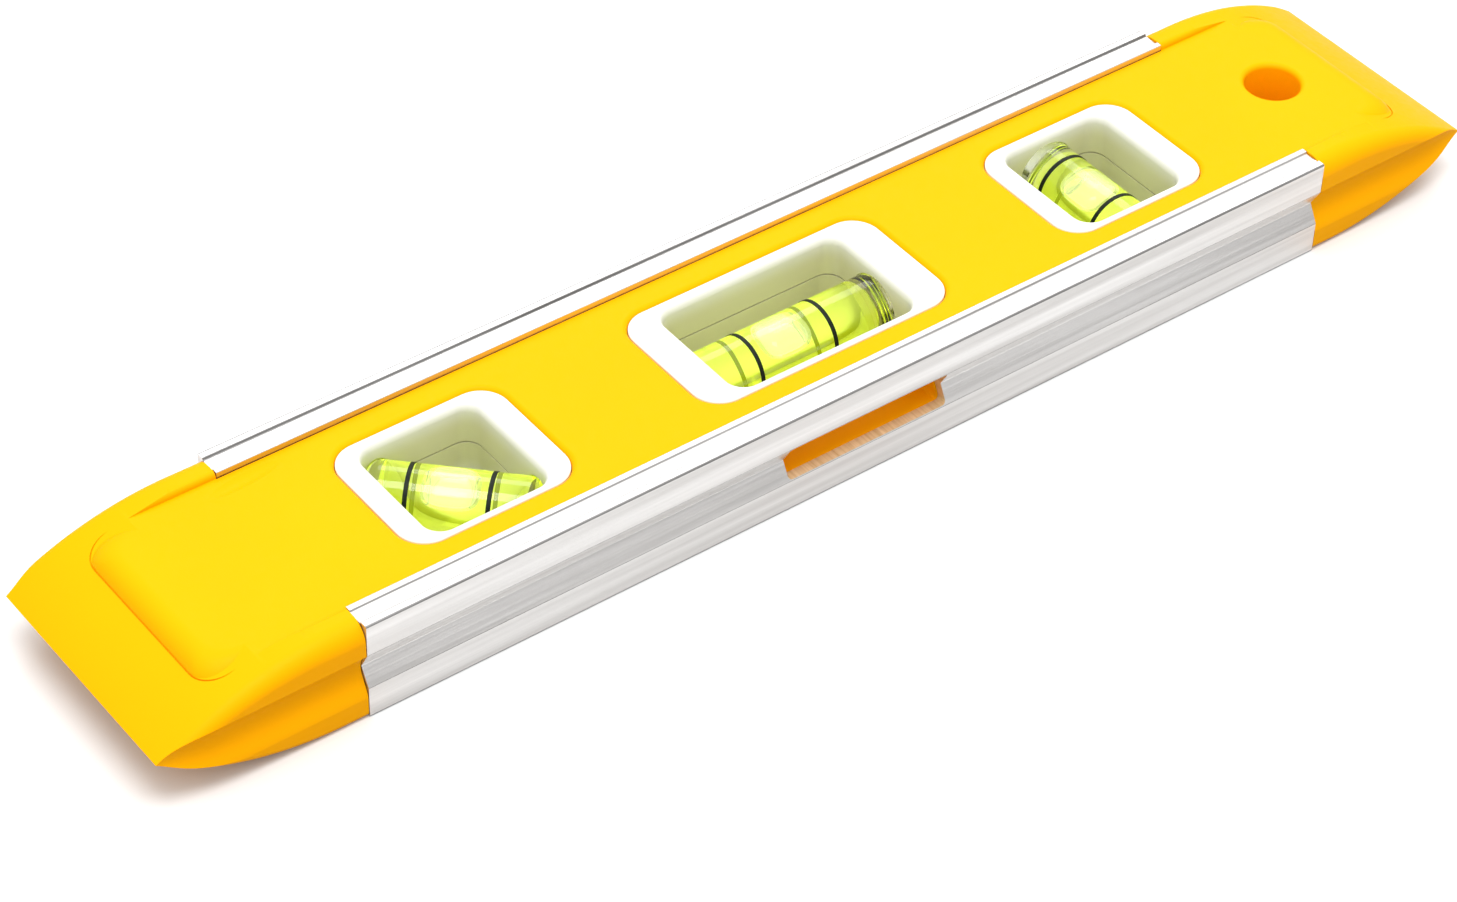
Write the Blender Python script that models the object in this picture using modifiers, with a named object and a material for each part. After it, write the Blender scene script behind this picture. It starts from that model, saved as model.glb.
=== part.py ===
"""Torpedo spirit level, lying on its back: yellow moulded body, two aluminium rails, three vials.

Frame: metres, +Z up and out of the front face, +X towards the hang-hole end, -Y the slotted working edge.
The origin is on the surface that the level lies on, under the middle of the body.
"""

import math

import bmesh
import bpy
from mathutils import Matrix, Vector

MM = 0.001

# Overall sizes
LENGTH = 230 * MM
WIDTH = 41.2 * MM
THICKNESS = 16.3 * MM
NOSE_LENGTH = 27 * MM
EDGE_ROUND = 0.8 * MM

# V-groove along both working edges
GROOVE_DEPTH = 1.6 * MM
GROOVE_MOUTH = 5.9 * MM

# Aluminium rails
RAIL_FROM_TIP = 30.85 * MM
RAIL_WALL = 1.6 * MM
RAIL_FLANGE = 1.9 * MM
RAIL_REACH = 4.85 * MM
LIP_WIDTH = 0.95 * MM
LEDGE_WIDTH = 1.3 * MM
RECESS_DEPTH = 0.7 * MM
RECESS_SLOPE = 0.4 * MM
RAIL_CHAMFER = 0.2 * MM

# Sunk centre panel, front and back, whose ends stand proud where the nose falls away
PANEL_DROP = 1.0 * MM
PANEL_END = 9.7 * MM
PANEL_CORNER = 4.0 * MM
PANEL_ROLL = 3.4 * MM

# Hang hole
HOLE_RADIUS = 4.2 * MM
HOLE_FROM_TIP = 22.1 * MM

# Window frames
SIDE_WINDOW_FROM_TIP = 58.2 * MM
FRAME_WIDTH = 22.7 * MM
SIDE_FRAME_LENGTH = 27.2 * MM
CENTRE_FRAME_LENGTH = 43.6 * MM
FRAME_CORNER = 4.5 * MM
FRAME_SUNK = 0.2 * MM
FRAME_SIDE_WALL = 1.55 * MM
SIDE_FRAME_END_WALL = 4.1 * MM
CENTRE_FRAME_END_WALL = 5.9 * MM
VIEW_CORNER = 2.6 * MM

# Vials
VIAL_RADIUS = 4.85 * MM
VIAL_WALL = 1.25 * MM
VIAL_END_ROUND = 1.2 * MM
SIDE_VIAL_FROM_EDGE = 0.15 * MM
CENTRE_VIAL_FROM_END = 2.7 * MM
CENTRE_VIAL_SHIFT = -1.1 * MM
MARK_WIDTH = 0.6 * MM
MARK_DEPTH = 0.3 * MM
BUBBLE_LENGTH = 8.2 * MM
BUBBLE_WIDTH = 4.8 * MM
BUBBLE_HEIGHT = 1.9 * MM

# Reading slot through the near edge to the centre vial
SLOT_LENGTH = 27.6 * MM
SLOT_CORNER = 1.2 * MM

# Clearances
GAP = 0.3 * MM
VIAL_GAP = 0.25 * MM
MARK_GAP = 0.12 * MM
BOSS_STEP = 0.02 * MM
CUT_PAST = 3 * MM

# Fineness of round shapes
ROUND_STEPS = 32
PLUG_STEPS = 24
CORNER_STEPS = 5
NOSE_STEPS = 10

# Sizes that follow
MIDDLE = THICKNESS / 2
NOSE_RADIUS = (NOSE_LENGTH**2 + MIDDLE**2) / (2 * MIDDLE)
PANEL_TOP = THICKNESS - PANEL_DROP
FRAME_TOP = PANEL_TOP - FRAME_SUNK
RAIL_LENGTH = LENGTH - 2 * RAIL_FROM_TIP
RAIL_INNER = WIDTH / 2 - RAIL_REACH
SIDE_WINDOW_X = LENGTH / 2 - SIDE_WINDOW_FROM_TIP
VIEW_WIDTH = FRAME_WIDTH - 2 * FRAME_SIDE_WALL
SIDE_VIEW_LENGTH = SIDE_FRAME_LENGTH - 2 * SIDE_FRAME_END_WALL
CENTRE_VIEW_LENGTH = CENTRE_FRAME_LENGTH - 2 * CENTRE_FRAME_END_WALL
BORE_RADIUS = VIAL_RADIUS - VIAL_WALL
LIQUID_RADIUS = BORE_RADIUS - VIAL_GAP
PLUMB_VIAL_HALF = FRAME_WIDTH / 2 - SIDE_VIAL_FROM_EDGE
DIAGONAL_REACH = math.sqrt(2) * (PLUMB_VIAL_HALF - VIAL_END_ROUND)
DIAGONAL_VIAL_HALF = DIAGONAL_REACH + 2 * VIAL_END_ROUND - VIAL_RADIUS
CENTRE_VIAL_HALF = CENTRE_FRAME_LENGTH / 2 - CENTRE_VIAL_FROM_END - abs(CENTRE_VIAL_SHIFT)

ALONG_X = Matrix(((0, 0, 1, 0), (1, 0, 0, 0), (0, 1, 0, 0), (0, 0, 0, 1)))
ALONG_Y = Matrix(((1, 0, 0, 0), (0, 0, -1, 0), (0, 1, 0, 0), (0, 0, 0, 1)))

# For each vial: its window's centre, frame and view lengths, the vial's turn from the X axis and shift along
# its own axis, half its length, its plug's length, half the distance between its marks, and their shift
VIALS = {
    "plumb_45": {
        "window": -SIDE_WINDOW_X,
        "frame": SIDE_FRAME_LENGTH,
        "view": SIDE_VIEW_LENGTH,
        "turn": -45,
        "shift": 0,
        "half": DIAGONAL_VIAL_HALF,
        "plug": 1.9 * MM,
        "marks": 5.7 * MM,
        "marks_shift": -0.3 * MM,
    },
    "level": {
        "window": 0,
        "frame": CENTRE_FRAME_LENGTH,
        "view": CENTRE_VIEW_LENGTH,
        "turn": 0,
        "shift": CENTRE_VIAL_SHIFT,
        "half": CENTRE_VIAL_HALF,
        "plug": 3.2 * MM,
        "marks": 6.55 * MM,
        "marks_shift": 0,
    },
    "plumb_90": {
        "window": SIDE_WINDOW_X,
        "frame": SIDE_FRAME_LENGTH,
        "view": SIDE_VIEW_LENGTH,
        "turn": -90,
        "shift": 0,
        "half": PLUMB_VIAL_HALF,
        "plug": 3.3 * MM,
        "marks": 5.65 * MM,
        "marks_shift": 0,
    },
}


def clear_scene():
    for obj in list(bpy.data.objects):
        bpy.data.objects.remove(obj)


def new_collection(name):
    collection = bpy.data.collections.new(name)
    bpy.context.scene.collection.children.link(collection)
    return collection


def material(name, color, roughness, metallic=0.0, alpha=1.0):
    made = bpy.data.materials.new(name)
    made.use_nodes = True
    shader = made.node_tree.nodes["Principled BSDF"]
    shader.inputs["Base Color"].default_value = (*color, 1)
    shader.inputs["Roughness"].default_value = roughness
    shader.inputs["Metallic"].default_value = metallic
    shader.inputs["Alpha"].default_value = alpha
    return made


def corner_arc(before, corner, after, radius, steps):
    """Points of the arc of the given radius that rounds a corner of an outline."""
    corner = Vector(corner)
    to_before = (Vector(before) - corner).normalized()
    to_after = (Vector(after) - corner).normalized()
    half_angle = to_before.angle(to_after) / 2
    centre = corner + (to_before + to_after).normalized() * radius / math.sin(half_angle)
    start = corner + to_before * radius / math.tan(half_angle) - centre
    end = corner + to_after * radius / math.tan(half_angle) - centre
    turn = start.angle_signed(end)
    return [centre + Matrix.Rotation(-turn * i / steps, 2) @ start for i in range(steps + 1)]


def rounded_box(length, width, radius, steps=CORNER_STEPS):
    """Outline of a rectangle with round corners, centred on the origin."""
    signs = ((1, 1), (-1, 1), (-1, -1), (1, -1))
    corners = [(sx * length / 2, sy * width / 2) for sx, sy in signs]
    points = []
    for i, corner in enumerate(corners):
        points += corner_arc(corners[i - 1], corner, corners[(i + 1) % 4], radius, steps)
    return points


def prism(name, outlines, thickness, place=Matrix()):
    """A flat outline, with any holes, given a thickness along its normal and made a closed mesh."""
    curve = bpy.data.curves.new(name, "CURVE")
    curve.dimensions = "2D"
    curve.fill_mode = "BOTH"
    curve.extrude = thickness / 2
    for outline in outlines:
        spline = curve.splines.new("POLY")
        spline.points.add(len(outline) - 1)
        spline.use_cyclic_u = True
        for point, (x, y) in zip(spline.points, outline):
            point.co = (x, y, 0, 1)
    guide = bpy.data.objects.new(name + "_outline", curve)
    bpy.context.scene.collection.objects.link(guide)
    mesh = bpy.data.meshes.new_from_object(guide.evaluated_get(bpy.context.evaluated_depsgraph_get()))
    bpy.data.objects.remove(guide)
    weld(mesh)
    made = bpy.data.objects.new(name, mesh)
    made.matrix_world = place
    return made


def weld(mesh):
    work = bmesh.new()
    work.from_mesh(mesh)
    bmesh.ops.remove_doubles(work, verts=work.verts, dist=0.001 * MM)
    bmesh.ops.recalc_face_normals(work, faces=work.faces)
    work.to_mesh(mesh)
    work.free()


def cylinder(name, radius, length, place=Matrix(), steps=ROUND_STEPS):
    mesh = bpy.data.meshes.new(name)
    work = bmesh.new()
    bmesh.ops.create_cone(work, cap_ends=True, segments=steps, radius1=radius, radius2=radius, depth=length)
    work.to_mesh(mesh)
    work.free()
    made = bpy.data.objects.new(name, mesh)
    made.matrix_world = place
    return made


def turned(name, profile, closed, place):
    """A profile of (radius, height) points, down its outer side, turned about the local Z axis."""
    mesh = bpy.data.meshes.new(name)
    edges = [(i, i + 1) for i in range(len(profile) - 1)]
    if closed:
        edges.append((len(profile) - 1, 0))
    mesh.from_pydata([(radius, 0, height) for radius, height in profile], edges, [])
    made = bpy.data.objects.new(name, mesh)
    screw = made.modifiers.new("turn", "SCREW")
    screw.steps = ROUND_STEPS
    screw.render_steps = ROUND_STEPS
    screw.use_merge_vertices = True
    screw.merge_threshold = 0.001 * MM
    made.matrix_world = place
    return made


def combine(target, tool, operation="DIFFERENCE"):
    """A Boolean modifier that stays on the piece; its tool is hidden in the cutters' collection."""
    if tool.name not in cutters.objects:
        cutters.objects.link(tool)
        tool.hide_render = True
        tool.display_type = "WIRE"
    modifier = target.modifiers.new(tool.name, "BOOLEAN")
    modifier.operation = operation
    modifier.object = tool
    modifier.solver = "EXACT"


def finish(piece, finish_material, smooth=False):
    piece.data.materials.clear()
    piece.data.materials.append(finish_material)
    if smooth:
        piece.data.shade_smooth()
        piece.data.set_sharp_from_angle(angle=math.radians(35))
    parts.objects.link(piece)
    return piece


def vial_place(vial, along=0.0):
    """Turns local Z to a vial's axis and local Y to up, at a distance along it from the window's middle."""
    turn = Matrix.Rotation(math.radians(vial["turn"]), 4, "Z")
    centre = Matrix.Translation((vial["window"], 0, MIDDLE))
    return centre @ turn @ Matrix.Translation((vial["shift"] + along, 0, 0)) @ ALONG_X


def nose_arc():
    """The nose's arc in side view, from the end of the flat front face down to the tip."""
    sweep = math.asin(NOSE_LENGTH / NOSE_RADIUS)
    start = LENGTH / 2 - NOSE_LENGTH
    angles = [sweep * i / NOSE_STEPS for i in range(NOSE_STEPS + 1)]
    return [(start + NOSE_RADIUS * math.sin(a), THICKNESS - NOSE_RADIUS * (1 - math.cos(a))) for a in angles]


def nose_height(from_tip):
    """Height of the nose's upper surface at a distance from the tip."""
    along = NOSE_LENGTH - from_tip
    return THICKNESS - NOSE_RADIUS + math.sqrt(NOSE_RADIUS**2 - along**2)


def mirrored_outline(quarter):
    """Closes a quarter outline, from the top middle to the right end, by mirroring it in both axes."""
    flip_z = [(x, THICKNESS - z) for x, z in reversed(quarter)]
    right = quarter + [point for point in flip_z if point not in quarter]
    return right + [(-x, z) for x, z in reversed(right)]


def groove_outline(past):
    """The V that the groove's walls follow, carried past the working edge."""
    half = GROOVE_MOUTH / 2
    rise = half * past / GROOVE_DEPTH
    edge = WIDTH / 2
    high = (edge + past, MIDDLE + half + rise)
    low = (edge + past, MIDDLE - half - rise)
    return [high, (edge - GROOVE_DEPTH, MIDDLE), low]


def rail_outline():
    """Section of the far rail in Y and Z: flange, lip, recess, ledge and V-grooved web, mirrored in Z."""
    edge = WIDTH / 2
    mouth = GROOVE_MOUTH / 2
    ledge = edge - LEDGE_WIDTH
    lip = RAIL_INNER + LIP_WIDTH
    upper = [
        (edge - RAIL_WALL - GROOVE_DEPTH, MIDDLE),
        (edge - RAIL_WALL, MIDDLE + mouth),
        (edge - RAIL_WALL, THICKNESS - RAIL_FLANGE),
        (RAIL_INNER, THICKNESS - RAIL_FLANGE),
        (RAIL_INNER, THICKNESS),
        (lip, THICKNESS),
        (lip + RECESS_SLOPE, THICKNESS - RECESS_DEPTH),
        (ledge - RECESS_SLOPE, THICKNESS - RECESS_DEPTH),
        (ledge, THICKNESS),
        (edge - RAIL_CHAMFER, THICKNESS),
        (edge, THICKNESS - RAIL_CHAMFER),
        (edge, MIDDLE + mouth),
        (edge - GROOVE_DEPTH, MIDDLE),
    ]
    return upper + [(y, THICKNESS - z) for y, z in reversed(upper[1:-1])]


def seat_outline():
    """What the body loses to a rail: the rail's section, filled to the working edge, with a gap all round."""
    edge = WIDTH / 2 - RAIL_WALL - GAP
    mouth = GROOVE_MOUTH / 2
    inner = RAIL_INNER - GAP
    floor = THICKNESS - RAIL_FLANGE - GAP
    past = WIDTH / 2 + CUT_PAST
    upper = [
        (edge - GROOVE_DEPTH, MIDDLE),
        (edge, MIDDLE + mouth),
        (edge, floor),
        (inner, floor),
        (inner, THICKNESS + CUT_PAST),
        (past, THICKNESS + CUT_PAST),
    ]
    return upper + [(y, THICKNESS - z) for y, z in reversed(upper[1:])]


def both_edges(name, outline, length):
    """The same cutter at the far edge and, turned half round, at the near edge."""
    far = prism(name + "_far", [outline], length, ALONG_X)
    near = bpy.data.objects.new(name + "_near", far.data)
    near.matrix_world = Matrix.Rotation(math.pi, 4, "Z") @ ALONG_X
    return far, near


def panel_plan(inset):
    return rounded_box(LENGTH - 2 * (PANEL_END + inset), 2 * (RAIL_INNER - inset), PANEL_CORNER - inset)


def weigh_rim(mesh):
    """Marks a prism's rim edges, on both of its faces, for a bevel; the edges between the faces stay sharp."""
    weights = mesh.attributes.new("bevel_weight_edge", "FLOAT", "EDGE")
    for edge in mesh.edges:
        start, end = (mesh.vertices[i].co.z for i in edge.vertices)
        on_rim = math.copysign(1, start) == math.copysign(1, end)
        weights.data[edge.index].value = 1 if on_rim else 0


def make_body(slot):
    """One moulding: boat-shaped noses, grooved edges, sunk panels, rail seats, windows and hang hole."""
    body = prism("body", [mirrored_outline(nose_arc())], WIDTH, ALONG_Y)
    weigh_rim(body.data)
    round_edges = body.modifiers.new("round_edges", "BEVEL")
    round_edges.width = EDGE_ROUND
    round_edges.segments = 2
    round_edges.limit_method = "WEIGHT"

    for tool in both_edges("groove", groove_outline(CUT_PAST), LENGTH + 2 * CUT_PAST):
        combine(body, tool)

    depth = PANEL_DROP + CUT_PAST
    for side, label in ((1, "front"), (-1, "back")):
        place = Matrix.Translation((0, 0, MIDDLE + side * (PANEL_TOP - MIDDLE + depth / 2)))
        combine(body, prism("panel_" + label, [panel_plan(0)], depth, place))
    combine(body, panel_boss(), "UNION")

    for tool in both_edges("rail_seat", seat_outline(), RAIL_LENGTH + 2 * GAP):
        combine(body, tool)
    for name, vial in VIALS.items():
        opening = rounded_box(vial["frame"] + 2 * GAP, FRAME_WIDTH + 2 * GAP, FRAME_CORNER + GAP)
        place = Matrix.Translation((vial["window"], 0, MIDDLE))
        combine(body, prism(name + "_window", [opening], THICKNESS + CUT_PAST, place))
    hole = Matrix.Translation((LENGTH / 2 - HOLE_FROM_TIP, 0, MIDDLE))
    combine(body, cylinder("hang_hole", HOLE_RADIUS, THICKNESS + CUT_PAST, hole))
    combine(body, slot)
    finish(body, yellow, smooth=True)


def panel_boss():
    """The panel's ends, where they stand above the noses: flat, then rolled down to meet them.

    It is a little smaller than the panel all round, so that no two faces lie on each other.
    """
    start = LENGTH / 2 - PANEL_END - PANEL_ROLL
    top = PANEL_TOP - BOSS_STEP
    fall = top - nose_height(PANEL_END) + EDGE_ROUND
    quarter = []
    for i in range(CORNER_STEPS + 1):
        angle = math.pi / 2 * i / CORNER_STEPS
        quarter.append((start + PANEL_ROLL * math.sin(angle), top - fall * (1 - math.cos(angle))))
    boss = prism("panel_boss", [mirrored_outline(quarter)], 2 * RAIL_INNER + CUT_PAST, ALONG_Y)
    upright = Matrix.Translation((0, 0, MIDDLE))
    plan = prism("panel_plan", [panel_plan(BOSS_STEP)], THICKNESS + CUT_PAST, upright)
    combine(boss, plan, "INTERSECT")
    return boss


def reading_slot():
    """Cutter from outside the near edge into the centre window, as tall as the groove's mouth."""
    outline = rounded_box(SLOT_LENGTH, GROOVE_MOUTH, SLOT_CORNER)
    inner = VIEW_WIDTH / 2 - CUT_PAST / 2
    outer = WIDTH / 2 + CUT_PAST
    place = Matrix.Translation((CENTRE_VIAL_SHIFT, -(inner + outer) / 2, MIDDLE)) @ ALONG_Y
    return prism("reading_slot", [outline], outer - inner, place)


def make_rails(slot):
    """Two lengths of the same extrusion; the near one has the reading slot milled through its web."""
    far = prism("rail_far", [rail_outline()], RAIL_LENGTH, ALONG_X)
    near = bpy.data.objects.new("rail_near", far.data.copy())
    near.matrix_world = Matrix.Rotation(math.pi, 4, "Z") @ ALONG_X
    combine(near, slot)
    finish(far, aluminium)
    finish(near, aluminium)


def make_frames(name, vial, slot):
    """The white frame's front and back halves, which meet on the mid-plane and clamp the vial between them."""
    outer = rounded_box(vial["frame"], FRAME_WIDTH, FRAME_CORNER)
    view = rounded_box(vial["view"], VIEW_WIDTH, VIEW_CORNER)
    pocket_length = 2 * (vial["half"] + VIAL_GAP)
    pocket = cylinder(name + "_pocket", VIAL_RADIUS + VIAL_GAP, pocket_length, vial_place(vial))
    height = FRAME_TOP - MIDDLE - GAP / 2
    for side, label in ((1, "_frame_front"), (-1, "_frame_back")):
        place = Matrix.Translation((vial["window"], 0, MIDDLE + side * (GAP + height) / 2))
        frame = prism(name + label, [outer, view], height, place)
        combine(frame, pocket)
        if name == "level":
            combine(frame, slot)
        finish(frame, white)


def vial_shoulder(half):
    """The rounded edge of a vial's end, from its end face out to its side, as (radius, height) points."""
    angles = [math.pi / 2 * i / CORNER_STEPS for i in range(CORNER_STEPS + 1)]
    radius = VIAL_RADIUS - VIAL_END_ROUND
    height = half - VIAL_END_ROUND
    return [(radius + VIAL_END_ROUND * math.sin(a), height + VIAL_END_ROUND * math.cos(a)) for a in angles]


def mark_heights(vial):
    return (vial["marks_shift"] + vial["marks"], vial["marks_shift"] - vial["marks"])


def make_tube(name, vial):
    """A turned acrylic tube, open at one end, with a shallow groove for each mark."""
    shoulder = vial_shoulder(vial["half"])
    groove = MARK_WIDTH / 2 + MARK_GAP
    floor = VIAL_RADIUS - MARK_DEPTH - MARK_GAP
    bore_end = vial["half"] - vial["plug"]
    outer = list(shoulder)
    for mark in mark_heights(vial):
        outer += [(VIAL_RADIUS, mark + groove), (floor, mark + groove)]
        outer += [(floor, mark - groove), (VIAL_RADIUS, mark - groove)]
    outer += [(radius, -height) for radius, height in reversed(shoulder)]
    bore = [(0, -bore_end), (BORE_RADIUS, -bore_end), (BORE_RADIUS, vial["half"])]
    tube = turned(name + "_tube", bore + outer + [(0, -vial["half"])], False, vial_place(vial))
    finish(tube, acrylic, smooth=True)


def make_plug(name, vial):
    """The disc that closes the tube's open end."""
    place = vial_place(vial, vial["half"] - vial["plug"] / 2)
    plug = cylinder(name + "_plug", BORE_RADIUS - VIAL_GAP, vial["plug"], place, PLUG_STEPS)
    finish(plug, acrylic_plug, smooth=True)


def make_marks(name, vial):
    """Two painted rings in the tube's grooves, with the bubble centred between them."""
    low = VIAL_RADIUS - MARK_DEPTH
    half = MARK_WIDTH / 2
    band = [(low, half), (VIAL_RADIUS, half), (VIAL_RADIUS, -half), (low, -half)]
    for height, label in zip(mark_heights(vial), ("_mark_right", "_mark_left")):
        finish(turned(name + label, band, True, vial_place(vial, height)), black, smooth=True)


def bubble_height():
    """Height of the bubble's middle over the vial's axis: its widest edge keeps a gap to the bore."""
    beside = math.sqrt(LIQUID_RADIUS**2 - (BUBBLE_WIDTH / 2) ** 2)
    return min(beside, LIQUID_RADIUS - BUBBLE_HEIGHT / 2)


def make_liquid(name, vial):
    """Fills the bore up to a flat surface, which leaves a channel along the top for the bubble to run in."""
    surface = bubble_height() - BUBBLE_HEIGHT / 2 - VIAL_GAP
    start = math.asin(surface / LIQUID_RADIUS)
    sweep = math.pi + 2 * start
    angles = [start - sweep * i / PLUG_STEPS for i in range(PLUG_STEPS + 1)]
    outline = [(LIQUID_RADIUS * math.cos(a), LIQUID_RADIUS * math.sin(a)) for a in angles]
    length = 2 * (vial["half"] - vial["plug"] - VIAL_GAP)
    finish(prism(name + "_liquid", [outline], length, vial_place(vial)), green)


def make_bubble(name, vial):
    """An air bubble, a flat ellipsoid against the top of the bore, with its origin on its own centre."""
    mesh = bpy.data.meshes.new(name + "_bubble")
    work = bmesh.new()
    size = Matrix.Diagonal((BUBBLE_WIDTH, BUBBLE_HEIGHT, BUBBLE_LENGTH, 1))
    bmesh.ops.create_uvsphere(work, u_segments=20, v_segments=10, radius=0.5, matrix=size)
    work.to_mesh(mesh)
    work.free()
    bubble = bpy.data.objects.new(name + "_bubble", mesh)
    rise = Matrix.Translation((0, bubble_height(), 0))
    bubble.matrix_world = vial_place(vial, vial["marks_shift"]) @ rise
    finish(bubble, air, smooth=True)


clear_scene()
parts = new_collection("spirit_level")
cutters = new_collection("cutters")

yellow = material("yellow_abs", (0.98, 0.72, 0.01), 0.4)
aluminium = material("brushed_aluminium", (0.86, 0.86, 0.87), 0.35, metallic=1.0)
white = material("white_plastic", (0.9, 0.91, 0.88), 0.35)
acrylic = material("clear_acrylic", (0.95, 0.98, 0.92), 0.05, alpha=0.35)
acrylic_plug = material("clear_plug", (0.85, 0.86, 0.78), 0.15, alpha=0.6)
green = material("yellow_green_liquid", (0.68, 0.9, 0.06), 0.05, alpha=0.8)
air = material("bubble_air", (0.95, 0.98, 0.85), 0.05, alpha=0.4)
black = material("black_mark", (0.03, 0.04, 0.03), 0.5)

slot_cutter = reading_slot()
make_body(slot_cutter)
make_rails(slot_cutter)
for vial_name, vial_sizes in VIALS.items():
    make_frames(vial_name, vial_sizes, slot_cutter)
    make_tube(vial_name, vial_sizes)
    make_plug(vial_name, vial_sizes)
    make_marks(vial_name, vial_sizes)
    make_liquid(vial_name, vial_sizes)
    make_bubble(vial_name, vial_sizes)
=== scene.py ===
import math

import bmesh
import bpy
from mathutils import Matrix, Vector


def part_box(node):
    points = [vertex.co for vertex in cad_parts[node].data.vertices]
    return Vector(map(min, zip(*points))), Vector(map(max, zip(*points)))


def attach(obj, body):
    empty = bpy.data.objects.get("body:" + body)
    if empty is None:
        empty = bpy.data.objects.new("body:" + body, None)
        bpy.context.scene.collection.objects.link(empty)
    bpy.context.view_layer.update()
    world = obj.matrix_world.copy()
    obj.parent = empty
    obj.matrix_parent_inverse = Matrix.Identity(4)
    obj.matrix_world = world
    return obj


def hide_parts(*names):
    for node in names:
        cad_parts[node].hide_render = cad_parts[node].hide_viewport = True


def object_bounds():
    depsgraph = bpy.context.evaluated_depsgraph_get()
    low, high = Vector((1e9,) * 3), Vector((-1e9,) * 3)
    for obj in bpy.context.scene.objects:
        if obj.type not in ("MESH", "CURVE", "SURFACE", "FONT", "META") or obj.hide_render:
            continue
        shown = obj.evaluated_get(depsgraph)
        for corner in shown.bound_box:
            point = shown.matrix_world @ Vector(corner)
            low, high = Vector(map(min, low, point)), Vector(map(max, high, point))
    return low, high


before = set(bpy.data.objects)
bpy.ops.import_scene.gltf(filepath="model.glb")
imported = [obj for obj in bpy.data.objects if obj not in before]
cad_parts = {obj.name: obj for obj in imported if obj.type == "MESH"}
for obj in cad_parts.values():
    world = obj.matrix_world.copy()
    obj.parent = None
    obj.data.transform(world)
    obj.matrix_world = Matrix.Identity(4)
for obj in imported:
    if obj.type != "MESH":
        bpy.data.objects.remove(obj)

cad_low, cad_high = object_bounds()

# Table and light: a white table under a pale sky dome, with one wide softbox overhead and a weaker one
# behind. The camera stands off the near left corner and looks down on the level. The plain view transform
# keeps the plastic's yellow saturated where the softbox overexposes it.

MM = 0.001
table_half = 3.0
table_seen = 0.8
table_bounced = 0.42
softbox_narrowing = 0.7
scene = bpy.context.scene
scene.view_settings.view_transform = "Standard"

table_mesh = bpy.data.meshes.new("table")
table_work = bmesh.new()
bmesh.ops.create_grid(table_work, x_segments=1, y_segments=1, size=table_half)
table_work.to_mesh(table_mesh)
table_work.free()
table = bpy.data.objects.new("table", table_mesh)
table.data.transform(Matrix.Translation((0, 0, cad_low.z)))
scene.collection.objects.link(table)
table_paint = bpy.data.materials.new("table_paint")
table_paint.use_nodes = True
table_nodes = table_paint.node_tree.nodes
table_links = table_paint.node_tree.links
table_white = table_nodes["Principled BSDF"]
table_bounce = table_nodes.new("ShaderNodeBsdfPrincipled")
for table_shader, grey in ((table_white, table_seen), (table_bounce, table_bounced)):
    table_shader.inputs["Base Color"].default_value = (grey, grey, grey, 1)
    table_shader.inputs["Roughness"].default_value = 0.8
    table_shader.inputs["Specular IOR Level"].default_value = 0.1
table_path = table_nodes.new("ShaderNodeLightPath")
table_mix = table_nodes.new("ShaderNodeMixShader")
table_links.new(table_path.outputs["Is Diffuse Ray"], table_mix.inputs["Fac"])
table_links.new(table_white.outputs["BSDF"], table_mix.inputs[1])
table_links.new(table_bounce.outputs["BSDF"], table_mix.inputs[2])
table_links.new(table_mix.outputs["Shader"], table_nodes["Material Output"].inputs["Surface"])
table.data.materials.append(table_paint)

sky = bpy.data.worlds.new("sky_dome")
sky.use_nodes = True
sky_nodes = sky.node_tree.nodes
sky_links = sky.node_tree.links
sky_light = sky_nodes["Background"]
sky_light.inputs["Strength"].default_value = 1.0
sky_height = sky_nodes.new("ShaderNodeTexCoord")
sky_split = sky_nodes.new("ShaderNodeSeparateXYZ")
sky_ramp = sky_nodes.new("ShaderNodeValToRGB")
sky_ramp.color_ramp.elements[0].position = 0.0
sky_ramp.color_ramp.elements[0].color = (0.3, 0.29, 0.285, 1)
sky_ramp.color_ramp.elements[1].position = 0.75
sky_ramp.color_ramp.elements[1].color = (1.3, 1.3, 1.3, 1)
sky_links.new(sky_height.outputs["Generated"], sky_split.inputs["Vector"])
sky_links.new(sky_split.outputs["Z"], sky_ramp.inputs["Fac"])
sky_links.new(sky_ramp.outputs["Color"], sky_light.inputs["Color"])
scene.world = sky

for light_name, azimuth, elevation, distance, size, power in (
    ("softbox_above", -30, 78, 0.9, 0.6, 4.8),
    ("softbox_behind", 141, 42, 1.1, 0.6, 2.2),
):
    softbox = bpy.data.lights.new(light_name, "AREA")
    softbox.shape = "RECTANGLE"
    softbox.size = size
    softbox.size_y = size * softbox_narrowing
    softbox.energy = power
    lamp = bpy.data.objects.new(light_name, softbox)
    turn = math.radians(azimuth)
    rise = math.radians(elevation)
    way = Vector((math.sin(turn) * math.cos(rise), -math.cos(turn) * math.cos(rise), math.sin(rise)))
    lamp.location = way * distance
    lamp.rotation_euler = way.to_track_quat("Z", "Y").to_euler()
    scene.collection.objects.link(lamp)

view_turn = math.radians(-38.724)
view_rise = math.radians(41.283)
view_back = Vector((
    math.sin(view_turn) * math.cos(view_rise),
    -math.cos(view_turn) * math.cos(view_rise),
    math.sin(view_rise),
))
view_roll = Matrix.Rotation(math.radians(2.228), 3, "Z")
view_distance = 566.063 * MM
look_at = Vector((-15.087, -11.95, 10.0)) * MM
camera_data = bpy.data.cameras.new("camera")
camera_data.sensor_width = 36
camera_data.lens = 101.1
camera_data.shift_x = -0.0165
camera_data.shift_y = -0.0197
camera_data.clip_start = 0.01
camera = bpy.data.objects.new("camera", camera_data)
camera.location = look_at + view_back * view_distance
camera.rotation_euler = (view_back.to_track_quat("Z", "Y").to_matrix() @ view_roll).to_euler()
scene.collection.objects.link(camera)
scene.camera = camera


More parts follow.
